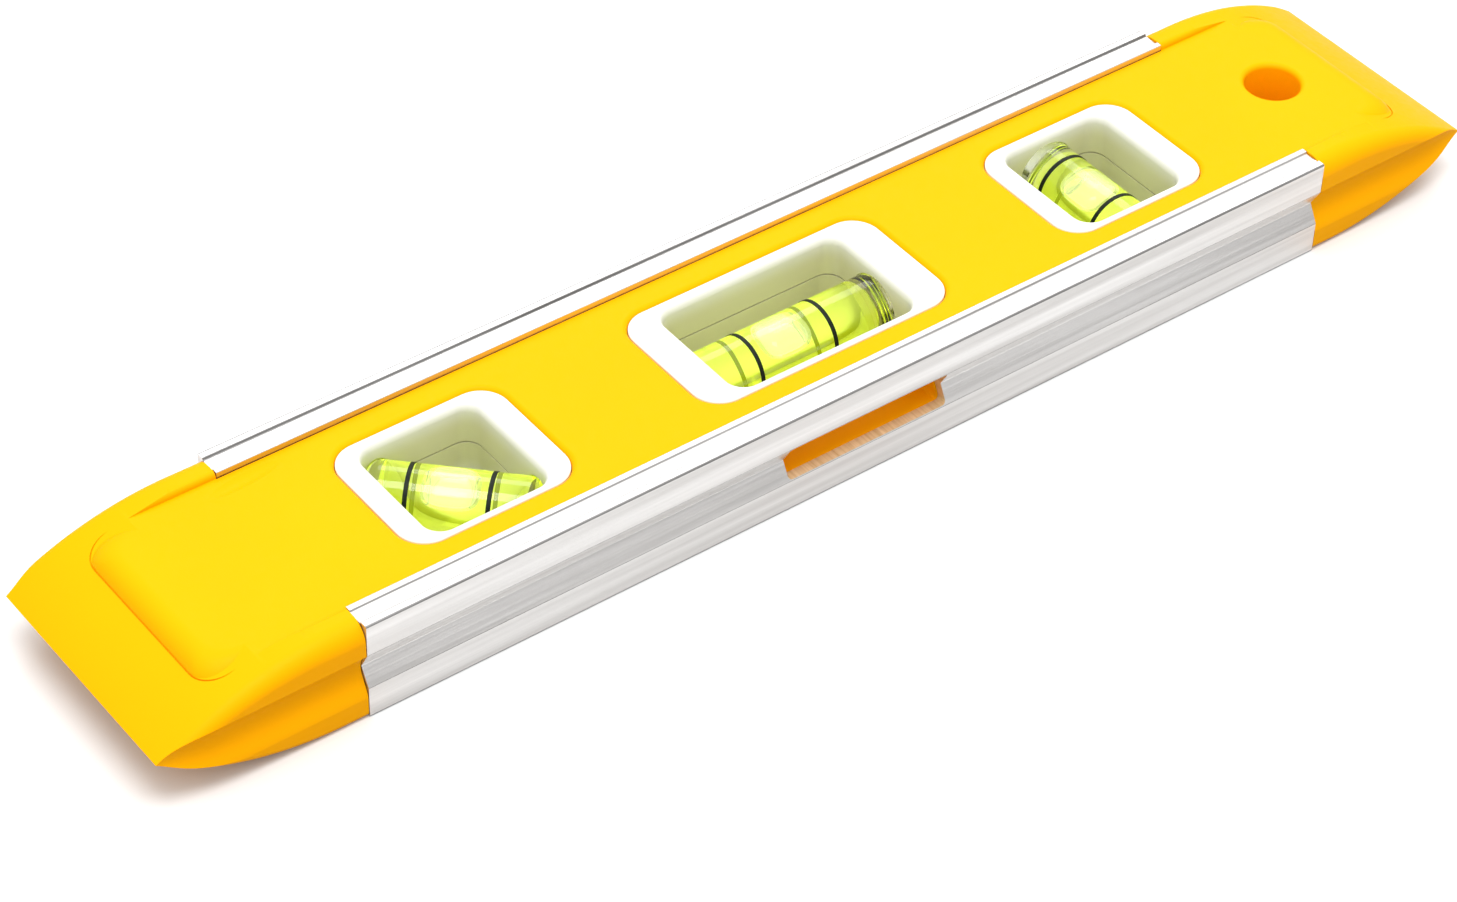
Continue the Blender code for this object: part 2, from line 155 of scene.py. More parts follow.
# Body: one moulding in satin yellow ABS, with boat-shaped noses, a groove that is crisp above its middle and
# fades out below, and a panel sunk between the rails, whose ends stand above the noses and roll down to them.
# Cutters carry the mould's radii, so the edges of the windows and the hang hole come out rounded.

body_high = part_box("body")[1]
near_rail_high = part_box("rail_near")[1]
half_length = body_high.x
half_width = cad_high.y
thickness = cad_high.z
middle = thickness / 2
rail_half_length = near_rail_high.x
rail_inner = -near_rail_high.y
nose_length = 27 * MM
rim_round = 3.0 * MM
back_round = 1.1 * MM
tip_round = 1.4 * MM
rim_steps = 10
groove_depth = 1.6 * MM
groove_mouth = 5.9 * MM
groove_steps = 12
groove_reach = 5.0 * MM
groove_start = 0.03 * MM
groove_fade_steps = 20
panel_top = thickness - 1.0 * MM
panel_half_length = half_length - 9.7 * MM
panel_corner = 4.0 * MM
panel_edge_round = 0.8 * MM
panel_roll = 3.4 * MM
panel_side_round = 2.8 * MM
moulded_round = 0.85 * MM
hang_hole_x = half_length - 22.1 * MM
hang_hole_radius = 4.3 * MM
web_wall = 1.6 * MM
flange_wall = 1.9 * MM
seat_gap = 0.12 * MM
past = 4 * MM

windows = {}
for name in ("plumb_45", "level", "plumb_90"):
    low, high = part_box(name + "_frame_front")
    windows[name] = {
        "x": (low.x + high.x) / 2,
        "half_x": (high.x - low.x) / 2,
        "half_y": (high.y - low.y) / 2,
        "top": high.z,
    }
frame_corner = 4.5 * MM
window_gap = 0.08 * MM


def rounded_box(half_x, half_y, radius, steps=12):
    """Points round a rectangle with round corners, in the XY plane."""
    points = []
    for quarter, (sign_x, sign_y) in enumerate(((1, 1), (-1, 1), (-1, -1), (1, -1))):
        centre_x = sign_x * (half_x - radius)
        centre_y = sign_y * (half_y - radius)
        for step in range(steps + 1):
            angle = math.pi / 2 * (quarter + step / steps)
            points.append((centre_x + radius * math.cos(angle), centre_y + radius * math.sin(angle)))
    return points


def circle(radius, steps=64):
    """Points round a circle, in the XY plane."""
    turns = [math.tau * i / steps for i in range(steps)]
    return [(radius * math.cos(turn), radius * math.sin(turn)) for turn in turns]


def to_object(name, work, place=Matrix()):
    """Ends a bmesh as an object at the origin, with its place in its mesh and its faces pointing out."""
    bmesh.ops.transform(work, matrix=place, verts=work.verts)
    bmesh.ops.recalc_face_normals(work, faces=work.faces)
    mesh = bpy.data.meshes.new(name)
    work.to_mesh(mesh)
    work.free()
    made = bpy.data.objects.new(name, mesh)
    scene.collection.objects.link(made)
    return made


def stack(name, rings, place=Matrix(), closed=False):
    """A solid through rings, each a list of (x, y) points at a height, with its ends capped or joined."""
    work = bmesh.new()
    loops = [[work.verts.new((x, y, height)) for x, y in points] for points, height in rings]
    pairs = list(zip(loops, loops[1:]))
    if closed:
        pairs.append((loops[-1], loops[0]))
    for lower, upper in pairs:
        for i in range(len(lower)):
            j = (i + 1) % len(lower)
            work.faces.new((lower[i], lower[j], upper[j], upper[i]))
    if not closed:
        work.faces.new(loops[0])
        work.faces.new(loops[-1])
    return to_object(name, work, place)


def boolean(target, tool, operation="DIFFERENCE"):
    """Cuts or joins a piece at once and takes the tool away."""
    modifier = target.modifiers.new(operation, "BOOLEAN")
    modifier.operation = operation
    modifier.object = tool
    modifier.solver = "EXACT"
    settle(target)
    bpy.data.objects.remove(tool)


def settle(piece):
    """Replaces a piece's mesh by what its modifiers make of it."""
    mesh = bpy.data.meshes.new_from_object(piece.evaluated_get(bpy.context.evaluated_depsgraph_get()))
    piece.modifiers.clear()
    piece.data = mesh


def shade(piece, angle=30):
    """Smooth shading that keeps flat faces flat beside their rounded edges."""
    piece.data.shade_smooth()
    piece.data.set_sharp_from_angle(angle=math.radians(angle))
    flat = piece.modifiers.new("flat_faces", "WEIGHTED_NORMAL")
    flat.keep_sharp = True
    flat.weight = 100
    settle(piece)


def flare(outline, edge, radius, steps=6):
    """Rings for a cutter that opens out by a radius at the face it cuts; outline(wider) gives the points."""
    rings = [(outline(0), edge - radius)]
    for step in range(1, steps + 1):
        angle = math.pi / 2 * step / steps
        rings.append((outline(radius * (1 - math.cos(angle))), edge - radius * (1 - math.sin(angle))))
    rings.append((outline(radius), edge + past))
    return rings


def flare_both(name, outline, edge, radius, centre_x):
    """A cutter through the whole thickness, flared at the front and the back."""
    front = flare(outline, edge, radius)
    back = [(points, thickness - height) for points, height in reversed(front)]
    return stack(name, back + front, Matrix.Translation((centre_x, 0, 0)))


along_x = Matrix(((0, 0, 1, 0), (1, 0, 0, 0), (0, 1, 0, 0), (0, 0, 0, 1)))
along_y = Matrix(((1, 0, 0, 0), (0, 0, -1, 0), (0, 1, 0, 0), (0, 0, 0, 1)))
half_turn = Matrix.Rotation(math.pi, 4, "Z")

nose_radius = (nose_length**2 + middle**2) / (2 * middle)
nose_start = half_length - nose_length
nose_steps = 40


def rim_ring(side, turn):
    """The outline seen from the side, at one step round the soft edge between that side and the faces.

    The edge is rounder at the front than at the back beside the rails, and the same at the tip. Each point is
    drawn in along the nose's own radius.
    """
    inset = 1 - math.sin(turn)
    tip_reach = nose_radius - tip_round * inset
    tip_angle = math.acos((nose_radius - middle) / tip_reach)
    front, back = [], []
    for points, first_round in ((front, rim_round), (back, back_round)):
        for step in range(nose_steps + 1):
            share = step / nose_steps
            edge_round = first_round + (tip_round - first_round) * share
            reach = nose_radius - edge_round * inset
            x = nose_start + reach * math.sin(tip_angle * share)
            z = thickness - nose_radius + reach * math.cos(tip_angle * share)
            points.append((x, side * (half_width - edge_round * (1 - math.cos(turn))), z))
    right = front + [(x, y, thickness - z) for x, y, z in reversed(back[:-1])]
    return right + [(-x, y, z) for x, y, z in reversed(right)]


rim_turns = [math.pi / 2 * step / rim_steps for step in range(rim_steps + 1)]
rim_rings = [rim_ring(-1, turn) for turn in rim_turns] + [rim_ring(1, turn) for turn in reversed(rim_turns)]
body_work = bmesh.new()
rims = [[body_work.verts.new(point) for point in ring] for ring in rim_rings]
for near_rim, far_rim in zip(rims, rims[1:]):
    for i in range(len(near_rim)):
        j = (i + 1) % len(near_rim)
        body_work.faces.new((near_rim[i], near_rim[j], far_rim[j], far_rim[i]))
body_work.faces.new(rims[0])
body_work.faces.new(rims[-1])
body = to_object("yellow_body", body_work)

groove = [(half_width + past, middle + groove_mouth / 2)]
for step in range(groove_steps):
    share = 1 - step / groove_steps
    groove.append((half_width - groove_depth * (1 - share**2), middle + groove_mouth / 2 * share))
for step in range(groove_fade_steps + 1):
    share = step / groove_fade_steps
    sunk = (groove_depth + groove_start) * (0.5 + 0.5 * math.cos(math.pi * share))
    groove.append((half_width + groove_start - sunk, middle - groove_reach * share))
groove.append((half_width + past, middle - groove_reach))
for turn in (Matrix(), half_turn):
    ends = [(groove, -half_length - past), (groove, half_length + past)]
    boolean(body, stack("groove_cutter", ends, turn @ along_x))

panel_rings = flare(
    lambda wider: rounded_box(panel_half_length + wider, rail_inner + wider, panel_corner + wider),
    thickness,
    panel_edge_round,
)
panel_rings.insert(0, (panel_rings[0][0], panel_top))
boolean(body, stack("front_panel_cutter", panel_rings))
boolean(body, stack("back_panel_cutter", [(points, thickness - height) for points, height in panel_rings]))


def nose_surface(x):
    """Height of the front face at a distance from the middle: flat, then falling along the nose."""
    along = max(abs(x) - nose_start, 0)
    return thickness - nose_radius + math.sqrt(nose_radius**2 - along**2)


boss_gap = 0.01 * MM
boss_root = 1.0 * MM
boss_steps = 16
boss_top = panel_top - boss_gap
boss_drop = boss_top - nose_surface(panel_half_length)
boss_sweep = 2 * math.atan(boss_drop / panel_roll)
boss_radius = panel_roll / math.sin(boss_sweep)
boss_half_x = panel_half_length - boss_gap
boss_half_y = rail_inner - boss_gap
boss_rings = [(rounded_box(boss_half_x, boss_half_y, panel_corner), boss_top - boss_drop - boss_root)]
for step in range(boss_steps + 1):
    angle = boss_sweep * (1 - step / boss_steps)
    ease_x = panel_roll - boss_radius * math.sin(angle)
    ease_y = panel_side_round * ease_x / panel_roll
    plan = rounded_box(boss_half_x - ease_x, boss_half_y - ease_y, panel_corner)
    boss_rings.append((plan, boss_top - boss_radius * (1 - math.cos(angle))))
boss_back = [(points, thickness - height) for points, height in reversed(boss_rings)]
boolean(body, stack("panel_boss", boss_back + boss_rings), "UNION")

crease_width = 0.32 * MM
crease_floor = 0.55 * crease_width
crease_inside = -0.03 * MM
crease_depth = 0.3 * MM
crease_fade = 3.5 * MM
crease_from = panel_half_length - panel_corner - 0.5 * MM
crease_clear = -0.2


def spaced(points, longest):
    """The same outline with points added along any side that is longer than the given length."""
    filled = []
    for start, end in zip(points, points[1:] + points[:1]):
        parts = max(math.ceil(math.dist(start, end) / longest), 1)
        filled += [tuple(a + (b - a) * k / parts for a, b in zip(start, end)) for k in range(parts)]
    return filled


for turn in (Matrix(), Matrix.Translation((0, 0, thickness)) @ Matrix.Diagonal((1, 1, -1, 1))):
    crease_work = bmesh.new()
    loops = []
    for wider, rise in ((crease_inside, past), (crease_width, past), (crease_floor, 0), (crease_inside, 0)):
        plan = rounded_box(panel_half_length + wider, rail_inner + wider, panel_corner + wider)
        loop = []
        for x, y in spaced(plan, 1 * MM):
            fade = max(min((abs(x) - crease_from) / crease_fade, 1), crease_clear)
            loop.append(crease_work.verts.new((x, y, nose_surface(x) + rise - crease_depth * fade)))
        loops.append(loop)
    for inner, outer in zip(loops, loops[1:] + loops[:1]):
        for i in range(len(inner)):
            j = (i + 1) % len(inner)
            crease_work.faces.new((inner[i], inner[j], outer[j], outer[i]))
    boolean(body, to_object("crease_cutter", crease_work, turn))

seat_outer = half_width - web_wall - seat_gap
seat_floor = thickness - flange_wall - seat_gap
upper_seat = [
    (seat_outer - groove_depth, middle),
    (seat_outer, middle + groove_mouth / 2),
    (seat_outer, seat_floor),
    (rail_inner - seat_gap, seat_floor),
    (rail_inner - seat_gap, thickness + past),
    (half_width + past, thickness + past),
]
seat = upper_seat + [(y, thickness - z) for y, z in reversed(upper_seat[1:])]
seat_half = rail_half_length + seat_gap
for turn in (Matrix(), half_turn):
    boolean(body, stack("rail_seat_cutter", [(seat, -seat_half), (seat, seat_half)], turn @ along_x))

for window in windows.values():
    cutter = flare_both(
        "window_cutter",
        lambda wider: rounded_box(
            window["half_x"] + window_gap + wider,
            window["half_y"] + window_gap + wider,
            frame_corner + window_gap + wider,
        ),
        panel_top,
        moulded_round,
        window["x"],
    )
    boolean(body, cutter)
hole_cutter = flare_both(
    "hang_hole_cutter", lambda wider: circle(hang_hole_radius + wider), panel_top, moulded_round, hang_hole_x
)
boolean(body, hole_cutter)

slot_half_length = 13.8 * MM
slot_centre = -1.1 * MM
slot_corner = 0.7 * MM
slot_end = 8.4 * MM
slot_outline = rounded_box(slot_half_length, groove_mouth / 2, slot_corner, steps=6)


def slot_cutter(end, longer=0, lower=0):
    """The reading slot's cutter, from outside the near edge to an end this far from the level's middle.

    It is as high as the groove's mouth, and can be made longer at each end and lower at the top and bottom.
    """
    stretch_x = 1 + longer / slot_half_length
    stretch_z = 1 - 2 * lower / groove_mouth
    outline = [(x * stretch_x, z * stretch_z) for x, z in slot_outline]
    place = Matrix.Translation((slot_centre, 0, middle)) @ along_y
    return stack("slot_cutter", [(outline, end), (outline, half_width + past)], place)


boolean(body, slot_cutter(slot_end))

dent_x = -81.2 * MM
dent_y = 13.4 * MM
dent_radius = 3.0 * MM
dent_depth = 0.3 * MM
dent_stretch = 4.8387
dent_turn = Matrix.Rotation(math.radians(5), 4, "Z")
dent_place = Matrix.Translation((dent_x, dent_y, panel_top + dent_radius - dent_depth))
dent_work = bmesh.new()
bmesh.ops.create_uvsphere(dent_work, u_segments=48, v_segments=32, radius=dent_radius)
dent_shape = dent_place @ dent_turn @ Matrix.Diagonal((dent_stretch, 1, 1, 1))
boolean(body, to_object("dent_cutter", dent_work, dent_shape))
shade(body)


def set_inputs(made, inputs):
    """Puts values straight on a node's input sockets, named with underscores for spaces."""
    for name, value in inputs.items():
        made.inputs[name.replace("_", " ")].default_value = value


def node(tree, kind, **inputs):
    """A node with values on its input sockets."""
    made = tree.nodes.new(kind)
    set_inputs(made, inputs)
    return made


def new_material(name, **inputs):
    """A material, its node tree and its shader, with values on the shader's own sockets."""
    made = bpy.data.materials.new(name)
    made.use_nodes = True
    shader = made.node_tree.nodes["Principled BSDF"]
    set_inputs(shader, inputs)
    return made, made.node_tree, shader


noise_range = (0.3, 0.7)


def mottle(tree, scale, low, high, stretch=(1, 1, 1)):
    """A noise pattern on Object coordinates, mapped to values or colours between low and high."""
    coordinates = tree.nodes.new("ShaderNodeTexCoord")
    mapping = node(tree, "ShaderNodeMapping", Scale=stretch)
    noise = node(tree, "ShaderNodeTexNoise", Scale=scale, Detail=4.0)
    tree.links.new(coordinates.outputs["Object"], mapping.inputs["Vector"])
    tree.links.new(mapping.outputs["Vector"], noise.inputs["Vector"])
    if isinstance(low, tuple):
        ramp = tree.nodes.new("ShaderNodeValToRGB")
        for element, color, position in zip(ramp.color_ramp.elements, (low, high), noise_range):
            element.color = (*color, 1)
            element.position = position
        tree.links.new(noise.outputs["Fac"], ramp.inputs["Fac"])
        return ramp.outputs["Color"]
    spread = node(
        tree, "ShaderNodeMapRange", From_Min=noise_range[0], From_Max=noise_range[1], To_Min=low, To_Max=high
    )
    tree.links.new(noise.outputs["Fac"], spread.inputs["Value"])
    return spread.outputs["Result"]


def bump(tree, shader, height, strength, distance):
    """Fine relief in a surface, from a pattern's height."""
    relief = node(tree, "ShaderNodeBump", Strength=strength, Distance=distance)
    tree.links.new(height, relief.inputs["Height"])
    tree.links.new(relief.outputs["Normal"], shader.inputs["Normal"])


yellow_abs, yellow_tree, yellow_shader = new_material("yellow_abs", Specular_IOR_Level=0.035, IOR=1.52)
yellow_tone = mottle(yellow_tree, 35, (0.97, 0.412, 0.0), (1.0, 0.43, 0.0))
yellow_tree.links.new(yellow_tone, yellow_shader.inputs["Base Color"])
yellow_tree.links.new(mottle(yellow_tree, 900, 0.38, 0.5), yellow_shader.inputs["Roughness"])
bump(yellow_tree, yellow_shader, mottle(yellow_tree, 2600, 0.0, 1.0), strength=0.12, distance=0.04 * MM)
body.data.materials.clear()
body.data.materials.append(yellow_abs)
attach(body, "level")
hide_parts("body")


# Rails: two lengths of one aluminium extrusion, brushed and clear anodised, pushed sideways over the body's
# tongues and held between the noses. Their outer corner strips are painted dark: painted shade standing in
# for the contact shadow along the bottom edge and the thin shaded lines along the other outer corners. Each
# has an inner lip, a shallow recess, an outer ledge and a V-grooved working face. The near one has a reading
# slot milled through its web.

rail_radius = 0.16 * MM
outer_radius = 0.27 * MM
ledge = half_width - 1.3 * MM
painted_shade_from = ledge - 0.25 * MM
lip = rail_inner + 0.95 * MM
recess = thickness - 0.35 * MM
recess_slope = 0.1 * MM
flange = thickness - flange_wall
web = half_width - web_wall
mill_depth = 5 * MM
mill_longer = 0.2 * MM
mill_lower = 0.18 * MM
upper_rail = [
    (web - groove_depth, middle),
    (web, middle + groove_mouth / 2),
    (web, flange),
    (rail_inner, flange),
    (rail_inner, thickness),
    (lip, thickness),
    (lip + recess_slope, recess),
    (ledge - recess_slope, recess),
    (ledge, thickness),
    (half_width, thickness),
    (half_width, middle + groove_mouth / 2),
    (half_width - groove_depth, middle),
]
rail_corners = upper_rail + [(y, thickness - z) for y, z in reversed(upper_rail[1:-1])]


def round_corners(corners, steps=4):
    """The extrusion's outline with each corner rounded, a little more on the outermost ones."""
    points = []
    for i, corner in enumerate(corners):
        outermost = corner[0] == half_width and corner[1] in (0, thickness)
        radius = outer_radius if outermost else rail_radius
        here = Vector(corner)
        before = (Vector(corners[i - 1]) - here).normalized()
        after = (Vector(corners[(i + 1) % len(corners)]) - here).normalized()
        half_angle = before.angle(after) / 2
        centre = here + (before + after).normalized() * radius / math.sin(half_angle)
        start = here + before * radius / math.tan(half_angle) - centre
        end = here + after * radius / math.tan(half_angle) - centre
        turn = start.angle_signed(end)
        points += [centre + Matrix.Rotation(-turn * k / steps, 2) @ start for k in range(steps + 1)]
    return points


def new_tree(name, *sockets):
    """A Geometry Nodes tree with a mesh output and the given (name, type, default) inputs."""
    tree = bpy.data.node_groups.new(name, "GeometryNodeTree")
    tree.is_modifier = True
    tree.interface.new_socket("Geometry", in_out="INPUT", socket_type="NodeSocketGeometry")
    tree.interface.new_socket("Geometry", in_out="OUTPUT", socket_type="NodeSocketGeometry")
    for socket_name, kind, default in sockets:
        socket = tree.interface.new_socket(socket_name, in_out="INPUT", socket_type=kind)
        if default is not None:
            socket.default_value = default
    return tree, tree.nodes.new("NodeGroupInput"), tree.nodes.new("NodeGroupOutput")


def math_node(tree, operation, second=0.5):
    """A node that works out one sum, with its second value given."""
    made = tree.nodes.new("ShaderNodeMath")
    made.operation = operation
    made.inputs[1].default_value = second
    return made


def grow(name, tree, guide, values, place=Matrix()):
    """Runs a Geometry Nodes tree on a guide, with its inputs set by name, and keeps the mesh it makes."""
    carrier = bpy.data.objects.new(name, guide)
    scene.collection.objects.link(carrier)
    modifier = carrier.modifiers.new(name, "NODES")
    modifier.node_group = tree
    for item in tree.interface.items_tree:
        if item.item_type == "SOCKET" and item.in_out == "INPUT" and item.name in values:
            modifier[item.identifier] = values[item.name]
    settle(carrier)
    work = bmesh.new()
    work.from_mesh(carrier.data)
    bmesh.ops.remove_doubles(work, verts=work.verts, dist=0.001 * MM)
    bpy.data.objects.remove(carrier)
    return to_object(name, work, place)


aluminium, metal_tree, metal_shader = new_material("brushed_aluminium", Metallic=1.0)
grain = mottle(metal_tree, 600, (0.55, 0.535, 0.52), (0.77, 0.757, 0.745), stretch=(0.02, 1, 1))
metal_tree.links.new(grain, metal_shader.inputs["Base Color"])
grain_roughness = mottle(metal_tree, 900, 0.3, 0.46, stretch=(0.02, 1, 1))
metal_tree.links.new(grain_roughness, metal_shader.inputs["Roughness"])
grain_height = mottle(metal_tree, 2600, 0.0, 1.0, stretch=(0.008, 1, 1))
bump(metal_tree, metal_shader, grain_height, strength=0.55, distance=0.04 * MM)

# Dark metal for the outer corner strips: painted shade, standing in for the contact shadow and the shaded
# corner lines.
shaded_edge_metal, edge_tree, edge_shader = new_material("painted_shade_edge_aluminium", Metallic=1.0, Roughness=0.5)
edge_shade_tone = mottle(edge_tree, 900, (0.2, 0.195, 0.19), (0.3, 0.295, 0.29), stretch=(0.05, 1, 1))
edge_tree.links.new(edge_shade_tone, edge_shader.inputs["Base Color"])

saw_cut, saw_tree, saw_shader = new_material("saw_cut_aluminium", Metallic=0.35, Roughness=0.45)
saw_tone = mottle(saw_tree, 1800, (0.62, 0.44, 0.22), (0.85, 0.68, 0.44), stretch=(1, 0.04, 0.4))
saw_tree.links.new(saw_tone, saw_shader.inputs["Base Color"])

extrude_tree, extrude_in, extrude_out = new_tree(
    "extrude_section", ("Length", "NodeSocketFloat", 0.1), ("Metal", "NodeSocketMaterial", None)
)
extrude_nodes = extrude_tree.nodes
extrude_link = extrude_tree.links.new
die = extrude_nodes.new("GeometryNodeMeshToCurve")
path = extrude_nodes.new("GeometryNodeCurvePrimitiveLine")
path_start = extrude_nodes.new("ShaderNodeCombineXYZ")
path_end = extrude_nodes.new("ShaderNodeCombineXYZ")
half_length_on = math_node(extrude_tree, "MULTIPLY", 0.5)
half_length_back = math_node(extrude_tree, "MULTIPLY", -0.5)
press = extrude_nodes.new("GeometryNodeCurveToMesh")
press.inputs["Fill Caps"].default_value = True
extrude_realize = extrude_nodes.new("GeometryNodeRealizeInstances")
extrude_metal = extrude_nodes.new("GeometryNodeSetMaterial")
extrude_link(extrude_in.outputs["Geometry"], die.inputs["Mesh"])
extrude_link(extrude_in.outputs["Length"], half_length_on.inputs[0])
extrude_link(extrude_in.outputs["Length"], half_length_back.inputs[0])
extrude_link(half_length_back.outputs[0], path_start.inputs["X"])
extrude_link(half_length_on.outputs[0], path_end.inputs["X"])
extrude_link(path_start.outputs[0], path.inputs["Start"])
extrude_link(path_end.outputs[0], path.inputs["End"])
extrude_link(path.outputs["Curve"], press.inputs["Curve"])
extrude_link(die.outputs["Curve"], press.inputs["Profile Curve"])
extrude_link(press.outputs["Mesh"], extrude_realize.inputs["Geometry"])
extrude_link(extrude_realize.outputs["Geometry"], extrude_metal.inputs["Geometry"])
extrude_link(extrude_in.outputs["Metal"], extrude_metal.inputs["Material"])
extrude_link(extrude_metal.outputs["Geometry"], extrude_out.inputs["Geometry"])

section_points = round_corners(rail_corners)
section = bpy.data.meshes.new("rail_section")
section.from_pydata(
    [(y, z, 0) for y, z in section_points],
    [(i, (i + 1) % len(section_points)) for i in range(len(section_points))],
    [],
)
rail_sizes = {"Length": 2 * rail_half_length, "Metal": aluminium}
upright = Matrix.Translation((0, 0, thickness))
near_rail = grow("aluminium_rail_near", extrude_tree, section, rail_sizes, upright)
far_rail = grow("aluminium_rail_far", extrude_tree, section, rail_sizes, half_turn @ upright)

rail_metals = (aluminium, saw_cut, shaded_edge_metal)
mill = slot_cutter(half_width - mill_depth, mill_longer, mill_lower)
for metal in rail_metals:
    mill.data.materials.append(metal)
for face in mill.data.polygons:
    face.material_index = rail_metals.index(saw_cut)
for rail, name in ((near_rail, "rail_near"), (far_rail, "rail_far")):
    rail.data.materials.clear()
    for metal in rail_metals:
        rail.data.materials.append(metal)
    # Narrow corner strips on the outer side get the dark metal, a painted shade.
    for face in rail.data.polygons:
        corner_strip = face.area < 2 * rail_half_length * rail_radius
        shaded_strip = corner_strip and abs(face.center.y) > painted_shade_from
        face.material_index = rail_metals.index(shaded_edge_metal if shaded_strip else aluminium)
    if rail is near_rail:
        boolean(rail, mill)
    shade(rail)
    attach(rail, "level")
    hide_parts(name)


# Window frames: white glossy plastic in two halves, pressed in from the front and the back until they nearly
# meet. Each has a soft inner lip, and half-round pockets that clamp the vial's ends between the halves. Deep
# in
# the window the white is painted khaki: painted shade, with painted green light from the spirit beside it.

frame_sizes = {
    "plumb_45": {"view_x": 9.5 * MM, "half": 12.3 * MM, "turn": -45, "end_round": 2.2 * MM},
    "level": {"view_x": 15.9 * MM, "half": 18.0 * MM, "turn": 0, "end_round": 1.2 * MM},
    "plumb_90": {"view_x": 9.5 * MM, "half": 11.2 * MM, "turn": -90, "end_round": 1.2 * MM},
}
view_half_y = 9.8 * MM
view_corner = 2.6 * MM
outer_round = 0.3 * MM
outer_steps = 4
lip_across = 1.1 * MM
lip_down = 1.6 * MM
lip_steps = 10
parting_gap = 0.13 * MM
pocket_gap = 0.12 * MM
painted_shade_full = 2.56 * MM
painted_shade_gone = middle - 0.4 * MM
tube_low, tube_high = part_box("level_tube")
vial_radius = (tube_high.z - tube_low.z) / 2


def frame_rings(window, view_x):
    """Rings up the outer wall, over the lip and down the inner wall of a frame's front half."""
    half_x, half_y, top = window["half_x"], window["half_y"], window["top"]
    foot = middle + parting_gap
    rings = [(rounded_box(half_x, half_y, frame_corner), foot)]
    for step in range(outer_steps + 1):
        angle = math.pi / 2 * step / outer_steps
        inset = outer_round * (1 - math.cos(angle))
        height = top - outer_round * (1 - math.sin(angle))
        rings.append((rounded_box(half_x - inset, half_y - inset, frame_corner - inset), height))
    for step in range(lip_steps + 1):
        angle = math.pi / 2 * step / lip_steps
        wider = lip_across * (1 - math.sin(angle))
        height = top - lip_down * (1 - math.cos(angle))
        rings.append((rounded_box(view_x + wider, view_half_y + wider, view_corner + wider), height))
    rings.append((rounded_box(view_x, view_half_y, view_corner), foot))
    return rings


def vial_frame(name):
    """Turns a vial's own axes, Z along it and Y up, into place in its window."""
    low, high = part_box(name + "_tube")
    turn = Matrix.Rotation(math.radians(frame_sizes[name]["turn"]), 4, "Z")
    return Matrix.Translation((low + high) / 2) @ turn @ along_x


def turned(name, profile, place, steps=96):
    """A solid turned about the vial's axis from (radius, height) points, with a flat cap at each end."""
    return stack(name, [(circle(radius, steps), height) for radius, height in profile], place)


def round_ended(radius, low_end, high_end, end_round, steps=8):
    """Profile of a rod whose two ends are rounded over."""
    angles = [math.pi / 2 * i / steps for i in range(steps + 1)]
    top = [(radius - end_round * (1 - math.cos(a)), high_end - end_round * (1 - math.sin(a))) for a in angles]
    foot = [(r, low_end + high_end - h) for r, h in reversed(top)]
    return foot + top


white_plastic, white_tree, white_shader = new_material("white_plastic")
white_place = white_tree.nodes.new("ShaderNodeTexCoord")
white_height = white_tree.nodes.new("ShaderNodeSeparateXYZ")
# Towards the middle of the thickness the white fades to khaki: a painted shade with painted green light from
# the spirit.
white_mirror = math_node(white_tree, "SUBTRACT", middle)
white_depth = math_node(white_tree, "ABSOLUTE")
white_fade = node(white_tree, "ShaderNodeMapRange", From_Min=painted_shade_full, From_Max=painted_shade_gone)
white_fade.interpolation_type = "SMOOTHSTEP"
white_painted_shade = white_tree.nodes.new("ShaderNodeMix")
white_painted_shade.data_type = "RGBA"
white_painted_shade.inputs["A"].default_value = (0.68, 0.66, 0.42, 1)
white_painted_shade.inputs["B"].default_value = (0.88, 0.88, 0.87, 1)
white_link = white_tree.links.new
white_link(white_place.outputs["Object"], white_height.inputs["Vector"])
white_link(white_height.outputs["Z"], white_mirror.inputs[0])
white_link(white_mirror.outputs[0], white_depth.inputs[0])
white_link(white_depth.outputs[0], white_fade.inputs["Value"])
white_link(white_fade.outputs["Result"], white_painted_shade.inputs["Factor"])
white_link(white_painted_shade.outputs["Result"], white_shader.inputs["Base Color"])
white_link(mottle(white_tree, 700, 0.28, 0.36), white_shader.inputs["Roughness"])
bump(white_tree, white_shader, mottle(white_tree, 1500, 0.0, 1.0), strength=0.08, distance=0.03 * MM)

for name, window in windows.items():
    sizes = frame_sizes[name]
    front = frame_rings(window, sizes["view_x"])
    back = [(points, thickness - height) for points, height in front]
    for label, rings in (("front", front), ("back", back)):
        centre = Matrix.Translation((window["x"], 0, 0))
        frame_half = stack(f"{name}_{label}_frame", rings, centre, closed=True)
        reach = sizes["half"] + pocket_gap
        pocket = round_ended(vial_radius + pocket_gap, -reach, reach, sizes["end_round"])
        boolean(frame_half, turned("pocket_cutter", pocket, vial_frame(name)))
        if name == "level":
            boolean(frame_half, slot_cutter(slot_end))
        shade(frame_half)
        frame_half.data.materials.clear()
        frame_half.data.materials.append(white_plastic)
        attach(frame_half, "level")
        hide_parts(f"{name}_frame_{label}")


# Vials: clear acrylic rods bored out, filled with yellow-green spirit and plugged, each with two painted
# rings. The rod, the spirit and the bubble lie inside one another, so each one's index is taken relative to
# what is round it.

clear = {"Transmission_Weight": 1.0, "Roughness": 0.0}
acrylic, _, _ = new_material("clear_acrylic", Base_Color=(1.0, 1.0, 0.98, 1), IOR=1.49, **clear)


def add_absorption(tree, color, density):
    """Colour that deepens with the thickness that light passes through."""
    soak = node(tree, "ShaderNodeVolumeAbsorption", Color=(*color, 1), Density=density)
    tree.links.new(soak.outputs["Volume"], tree.nodes["Material Output"].inputs["Volume"])


